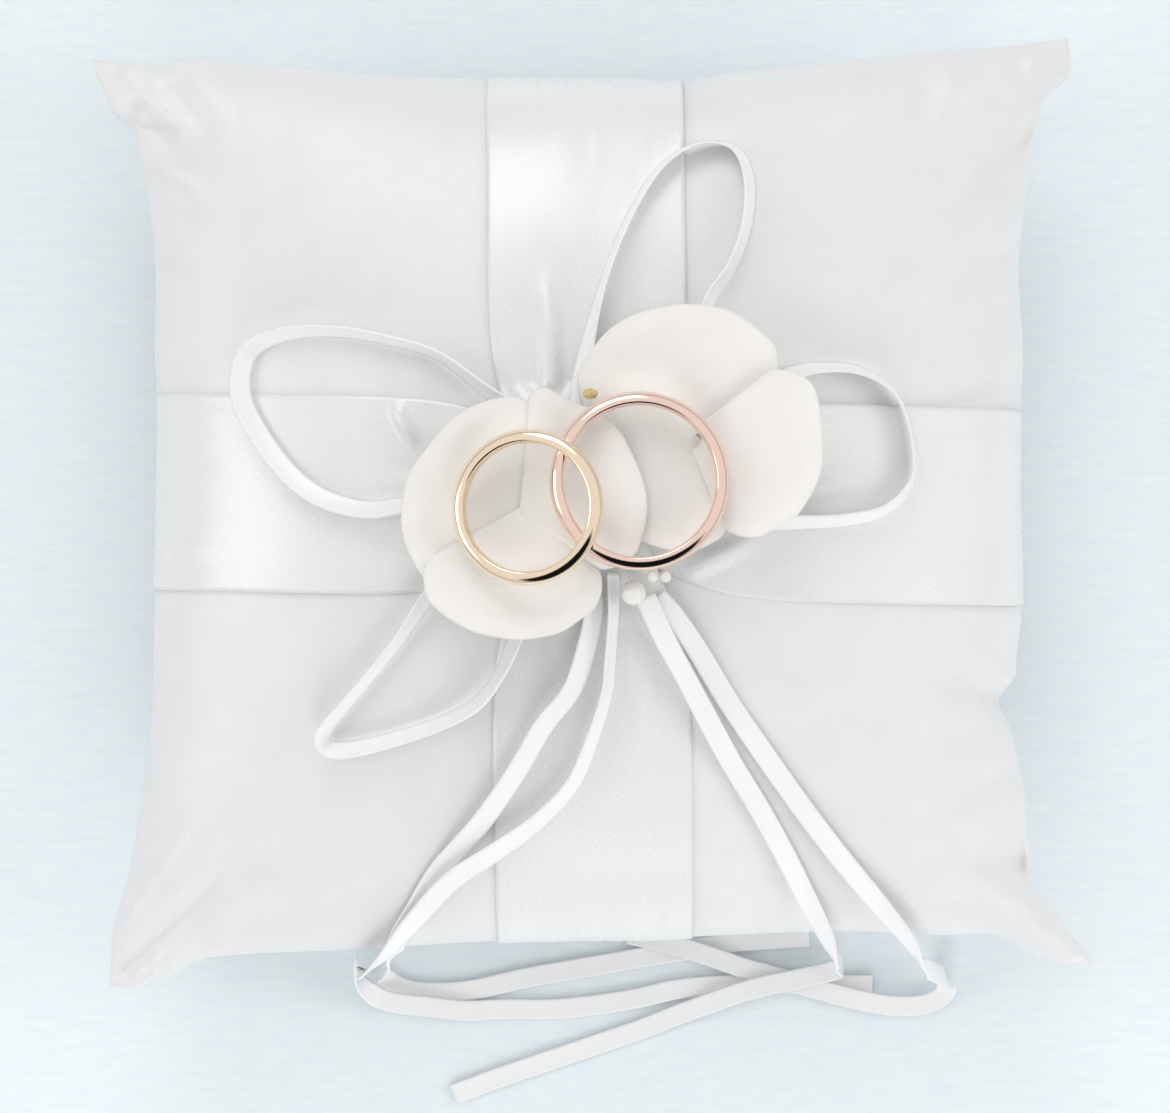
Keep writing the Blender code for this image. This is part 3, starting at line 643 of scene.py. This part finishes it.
def makeCushion():
    bm = bmesh.new()
    quarter = math.pi / 2
    cells = cushion["cells"]
    for side in (1, -1):
        sheet = bmesh.ops.create_grid(bm, x_segments=cells, y_segments=cells, size=1.0)
        for vert in sheet["verts"]:
            vert.co = cushionPoint(math.sin(vert.co.x * quarter), math.sin(vert.co.y * quarter), side)
    bmesh.ops.remove_doubles(bm, verts=bm.verts, dist=0.00002)
    bmesh.ops.recalc_face_normals(bm, faces=bm.faces)
    return placeMesh("satin_cushion", bm, finishes["cover"])


satinCushion = makeCushion()
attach(satinCushion, "pillow")
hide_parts("cover_top_panel", "cover_bottom_panel", "fibre_filling")
print("cushion:", len(satinCushion.data.polygons), "faces")


# folds of the bands near the knot: start, end, half width and height, where a negative height is a valley
bandFolds = (
    ((-0.0062, 0.0195), (-0.0072, 0.0385), 0.0013, 0.0013),
    ((-0.0092, 0.0195), (-0.0112, 0.0340), 0.0013, -0.0008),
    ((-0.0030, 0.0200), (-0.0022, 0.0340), 0.0013, -0.0008),
    ((-0.0292, 0.0150), (-0.0258, 0.0090), 0.0010, 0.0011),
    ((-0.0312, 0.0140), (-0.0280, 0.0080), 0.0012, -0.0009),
    ((0.0150, -0.0090), (0.0290, -0.0010), 0.0014, 0.0010),
    ((0.0180, -0.0110), (0.0310, -0.0050), 0.0016, -0.0007),
    ((0.0280, 0.0010), (0.0440, 0.0062), 0.0014, 0.0009),
    ((-0.0020, -0.0200), (0.0020, -0.0380), 0.0022, -0.0009),
    ((0.0060, -0.0200), (0.0085, -0.0360), 0.0016, 0.0008),
    ((-0.0215, 0.0030), (-0.0400, 0.0060), 0.0020, 0.0006),
    ((-0.0215, -0.0050), (-0.0380, -0.0040), 0.0020, -0.0006),
)
foldFade = 0.7  # the share of a fold over which its far end dies out

bandPleats = {
    "depth": 0.0011, "reach": 0.021, "closeness": 9.0, "wander": 0.8, "even": 0.6, "slack": 0.00045,
}


def bandGathers(off, v, seed):
    # pleats that run lengthwise, deep at the waist and gone half way to the edge seam
    depth = bandPleats["depth"] * math.exp(-((off / bandPleats["reach"]) ** 2))
    wander = bandPleats["wander"] * noise.noise(Vector((off * 60, seed, 0.0)))
    pleats = math.cos(v * bandPleats["closeness"] + wander) * bandPleats["even"]
    pleats += noise.noise(Vector((v * 3.2, off * 24, seed)))
    slack = bandPleats["slack"] * noise.noise(Vector((v * 1.2, off * 38, seed + 4)))
    return depth * pleats + slack


def bandFold(x, y):
    high = 0.0
    for start, end, halfWidth, height in bandFolds:
        off, share = distanceTo(Vector((x, y)), Vector(start), Vector(end))
        high += height * smoothStep((1 - share) / foldFade) * math.exp(-((off / halfWidth) ** 2))
    return high


def makeBand(name, settings, seed):
    half = midSide(settings["lengthwise"])
    quarter = math.pi / 2

    def shape(u, v):
        reached = math.sin(u * quarter * band["reach"])
        off = half * reached
        aside = bandMiddle(settings, off) + v * bandHalfWidth(off)
        x, y = (off, aside) if settings["lengthwise"] == 0 else (aside, off)
        across, upward = acrossUpward(x, y)
        top = cushionPoint(across, upward, 1)
        sewn = smoothStep((1 - abs(reached)) / band["sewn"])
        gathered = bandGathers(off, v, seed) + bandFold(x, y) * smoothStep((1 - abs(v)) / band["flatEdge"])
        rise = bandLift(off, settings["over"]) + max(gathered, band["deepest"]) * sewn
        point = top + crownNormal(x * band["reach"], y * band["reach"]) * rise
        return point, (math.asin(reached) * half, v * band["halfWidth"])

    piece = clothStrip(name + "_satin", band["cells"], shape, finishes["band"], band["thickness"])
    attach(piece, "pillow")
    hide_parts(name)
    return piece


for count, (bandName, bandSettings) in enumerate(bands.items()):
    makeBand(bandName, bandSettings, 2.0 + 5 * count)
print("bands: 2")


petal = {
    "thickness": 0.0003, "layer": 0.0007, "cup": 0.0012, "radius": 0.0182, "overlap": 0.0008,
    "curl": 0.0006, "curlFrom": 0.86, "sideCurl": 0.0003, "sideCurlFrom": 0.93,  # the rim turns down
    "cornerEase": 0.10, "wave": 0.00030, "waves": 2.6, "cells": (84, 40),
}
flowers = {
    "left_flower": {"middle": Vector((-0.0100, 0.0000, 0.0581)), "slope": (0.015, -0.050)},
    "right_flower": {"middle": Vector((0.0150, 0.0110, 0.0570)), "slope": (0.090, -0.050)},
}
# span in degrees, the reach in millimetres at even steps through it, the root, the layer and the cut size
petals = {
    "left_flower_petal_left": {"span": (78, 234), "reach": (15.6, 17.3, 17.5, 17.4, 18.3, 18.6, 18.2, 16.6),
                               "root": 0.2, "layer": 0, "flat": (0.030, 0.0185)},
    "left_flower_petal_front": {"span": (206, 321), "reach": (17.4, 19.7, 19.6, 19.2, 18.9, 18.0, 15.8),
                                "root": 0.2, "layer": 1, "flat": (0.026, 0.0190)},
    "left_flower_petal_right": {"span": (-38, 88), "reach": (15.6, 17.8, 18.2, 18.0, 18.5, 17.7, 19.0),
                                "root": 0.2, "layer": 1.25, "flat": (0.026, 0.0180)},
    "right_flower_petal_back": {"span": (28, 172), "reach": (14.6, 18.5, 19.7, 20.0, 20.4, 19.8, 16.2),
                                "root": 0.2, "layer": 0, "flat": (0.030, 0.0200)},
    "right_flower_petal_front": {"span": (98, 296), "reach": (3.6, 6.4, 13.6, 15.8, 17.4, 17.2, 15.0),
                                 "root": 0.2, "layer": 1, "flat": (0.026, 0.0160)},
    "right_flower_petal_right": {"span": (-72, 41), "reach": (15.6, 18.0, 19.4, 19.6, 19.1, 19.4, 16.6),
                                 "root": 2.0, "layer": 2, "flat": (0.024, 0.0160)},
}


def makePetal(name, settings, flower):
    first, last = (math.radians(angle) for angle in settings["span"])
    count = len(settings["reach"]) - 1
    stops = tuple((i / count, reach / 1000) for i, reach in enumerate(settings["reach"]))
    root = settings["root"] / 1000
    seed = len(name) + 10 * settings["layer"]
    behind = (first + last) / 2 + math.pi
    apex = petal["overlap"] * Vector((math.cos(behind), math.sin(behind), 0.0))

    def shape(u, v):
        share = (u + 1) / 2
        angle = first + (last - first) * share
        corner = max(abs(u) - petal["curlFrom"], 0) / (1 - petal["curlFrom"])
        rim = along(stops, share) * (1 - petal["cornerEase"] * corner**2)
        outward = (v + 1) / 2
        radius = root + (rim - root) * outward
        x, y = radius * math.cos(angle), radius * math.sin(angle)
        height = settings["layer"] * petal["layer"] + flower["slope"][0] * x + flower["slope"][1] * y
        height += petal["cup"] * (radius / petal["radius"]) ** 2
        height -= petal["curl"] * smoothStep((outward - petal["curlFrom"]) / (1 - petal["curlFrom"]))
        aside = (abs(u) - petal["sideCurlFrom"]) / (1 - petal["sideCurlFrom"])
        height -= petal["sideCurl"] * smoothStep(aside)
        around = petal["waves"] * Vector((math.cos(angle), math.sin(angle), 0.0))
        height += petal["wave"] * noise.noise(around + Vector((0, 0, seed))) * outward
        return flower["middle"] + apex * (1 - outward) + Vector((x, y, height)), (angle * radius, radius)

    piece = clothStrip(name + "_cloth", petal["cells"], shape, finishes["petal"], petal["thickness"])
    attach(piece, "pillow")
    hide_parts(name)
    return piece


for petalName, petalSettings in petals.items():
    makePetal(petalName, petalSettings, flowers["_".join(petalName.split("_")[:2])])
print("petals:", len(petals))


rings = {
    "small_ring": {
        "radius": 0.0116, "height": 0.0026, "lean": (-0.270, 0.060, 1.0),
        "finish": "gold", "slot": "yellow_gold",
    },
    "large_ring": {
        "radius": 0.01335, "height": 0.0028, "lean": (0.020, 0.070, 1.0),
        "finish": "rose", "slot": "rose_gold",
    },
}
# how thick a ring's wall is on each side of its crest, and its cells
ringWall = {"outside": 0.00145, "inside": 0.00065, "points": 44, "steps": 128}


def middleOf(cadNode):
    low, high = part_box(cadNode)
    return (low + high) / 2


def spinProfile(name, profile, finish, steps, closed):
    bm = bmesh.new()
    verts = [bm.verts.new((radius, 0, height)) for radius, height in profile]
    edges = [bm.edges.new(pair) for pair in zip(verts, verts[1:])]
    if closed:
        edges.append(bm.edges.new((verts[-1], verts[0])))
    bmesh.ops.spin(
        bm, geom=verts + edges, cent=(0, 0, 0), axis=(0, 0, 1), angle=math.tau, steps=steps, use_merge=True
    )
    bmesh.ops.remove_doubles(bm, verts=bm.verts, dist=0.000005)
    bmesh.ops.recalc_face_normals(bm, faces=bm.faces)
    return placeMesh(name, bm, finish)


def ringProfile(radius, height):
    # domed outside the crest, squarer and eased inside it
    crest = radius - ringWall["outside"]
    points = []
    for i in range(ringWall["points"]):
        angle = math.tau * i / ringWall["points"] - math.pi / 2
        out = math.cos(angle)
        reach = ringWall["outside"] * out if out > 0 else -ringWall["inside"] * abs(out) ** 0.6
        points.append((crest + reach, height / 2 * math.sin(angle)))
    return points


for ringName, ringSettings in rings.items():
    piece = spinProfile(
        ringName + "_polished", ringProfile(ringSettings["radius"], ringSettings["height"]),
        finishes[ringSettings["finish"]], ringWall["steps"], True,
    )
    turn = Vector((0, 0, 1)).rotation_difference(Vector(ringSettings["lean"])).to_matrix().to_4x4()
    piece.data.transform(Matrix.Translation(middleOf(ringName)) @ turn)
    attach(piece, ringName)
    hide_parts(ringName)
print("rings: 2")


beads = {
    "large_pearl": {"finish": "pearl", "slot": "pearl_lustre", "hole": 0.18, "turn": (90, 0, 20)},
    "seed_pearl_left": {"finish": "pearl", "slot": "pearl_lustre", "hole": 0.25, "turn": (90, 0, 70)},
    "seed_pearl_right": {"finish": "pearl", "slot": "pearl_lustre", "hole": 0.25, "turn": (90, 0, 110)},
    "stamen_tip": {"finish": "amber", "slot": "stamen_beige", "hole": 0.0, "turn": (0, 90, 15)},
}
beadCells = {"profile": 24, "steps": 40}
dimple = {"depth": 0.12, "floor": 0.7}  # against the bead's radius, and against the hole


def beadProfile(hole):
    # from pole to pole, with a small dimple where the thread goes in
    points = []
    start = math.asin(hole)
    for i in range(beadCells["profile"] + 1):
        angle = start + (math.pi - 2 * start) * i / beadCells["profile"]
        points.append((math.sin(angle), math.cos(angle)))
    if hole:
        top = math.cos(start) - dimple["depth"]
        floor = hole * dimple["floor"]
        points = [(0, top), (floor, top)] + points + [(floor, -top), (0, -top)]
    return points


for beadName, beadSettings in beads.items():
    low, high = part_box(beadName)
    profile = beadProfile(beadSettings["hole"])
    finish = finishes[beadSettings["finish"]]
    piece = spinProfile(beadName + "_bead", profile, finish, beadCells["steps"], False)
    spun = Matrix.Identity(3)
    for axis, angle in zip("XYZ", beadSettings["turn"]):
        spun = Matrix.Rotation(math.radians(angle), 3, axis) @ spun
    piece.data.transform(spun.to_4x4())
    piece.data.transform(Matrix.Translation((low + high) / 2) @ Matrix.Diagonal((*((high - low) / 2), 1)))
    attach(piece, "pillow")
    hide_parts(beadName)

# pieces that hardly show keep their CAD shape
hiddenNodes = {
    "bow_knot": "ribbon", "gathering_stitches": "thread",
    "left_flower_base": "petal", "right_flower_base": "petal",
}
for hiddenNode, finishName in hiddenNodes.items():
    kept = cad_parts[hiddenNode]
    kept.data.materials.clear()
    kept.data.materials.append(finishes[finishName])
print("beads and fastenings done")


table = {"size": 3.0, "drop": 0.0001, "light": (0.830, 0.885, 0.915), "shade": (0.780, 0.855, 0.895)}
studio = {
    "tent": 0.86, "horizon": 0.46, "gap": 0.01, "gapTowards": (0.12, -0.80, 0.78), "gapAngles": (38, 31),
    # place, size, energy, and whether polished metal mirrors it
    "lamps": {
        "back_softbox": ((-0.20, 0.95, 0.75), 0.6, 2.6, True),
        "left_softbox": ((-1.00, 0.00, 0.60), 0.5, 1.6, True),
        "right_softbox": ((1.05, -0.10, 0.55), 0.5, 2.6, False),
        "front_softbox": ((0.10, -1.00, 0.42), 0.6, 3.3, False),
        "overhead_softbox": ((0.12, -0.85, 0.72), 0.6, 2.2, False),
    },
}


def makeTable():
    bm = bmesh.new()
    bmesh.ops.create_grid(bm, x_segments=1, y_segments=1, size=table["size"] / 2)
    bmesh.ops.translate(bm, vec=(0, 0, -table["drop"]), verts=bm.verts)
    made, tree, shader = newMaterial("tableLinen", table["light"], 0.7)
    brushed = noiseOn(tree, "Object", (190, 1000, 1), Detail=6)
    toned = blended(tree, graded(tree, brushed, 0.35, 0.65), table["light"], table["shade"])
    tree.links.new(toned, shader.inputs["Base Color"])
    surface = placeMesh("table_top", bm, made)


def makeLamp(name, place, size, energy, mirrored):
    light = bpy.data.lights.new(name, "AREA")
    light.size = size
    light.energy = energy
    lamp = bpy.data.objects.new(name, light)
    lamp.location = place
    lamp.rotation_euler = Vector(place).to_track_quat("Z", "Y").to_euler()
    lamp.visible_glossy = mirrored
    bpy.context.scene.collection.objects.link(lamp)


def makeLight():
    # an even pale tent with one dark gap above the front, which gives the gold its dark lines
    world = bpy.data.worlds.new("studio")
    bpy.context.scene.world = world
    world.use_nodes = True
    tree = world.node_tree
    direction = node(tree, "ShaderNodeTexCoord").outputs["Generated"]
    height = node(tree, "ShaderNodeSeparateXYZ", {"Vector": direction}).outputs["Z"]
    tent = graded(tree, height, 0.0, 0.5, studio["horizon"], studio["tent"])
    gap = Vector(studio["gapTowards"]).normalized()
    facing = node(tree, "ShaderNodeVectorMath", {0: direction, 1: gap}, operation="DOT_PRODUCT")
    outer, inner = (math.cos(math.radians(angle)) for angle in studio["gapAngles"])
    openness = graded(tree, facing.outputs["Value"], outer, inner, 1.0, studio["gap"])
    level = combined(tree, "MULTIPLY", tent, openness)
    tree.links.new(level, tree.nodes["Background"].inputs["Strength"])
    tree.nodes["Background"].inputs["Color"].default_value = (1.0, 1.0, 1.0, 1)
    for name, settings in studio["lamps"].items():
        makeLamp(name, *settings)


makeTable()
makeLight()
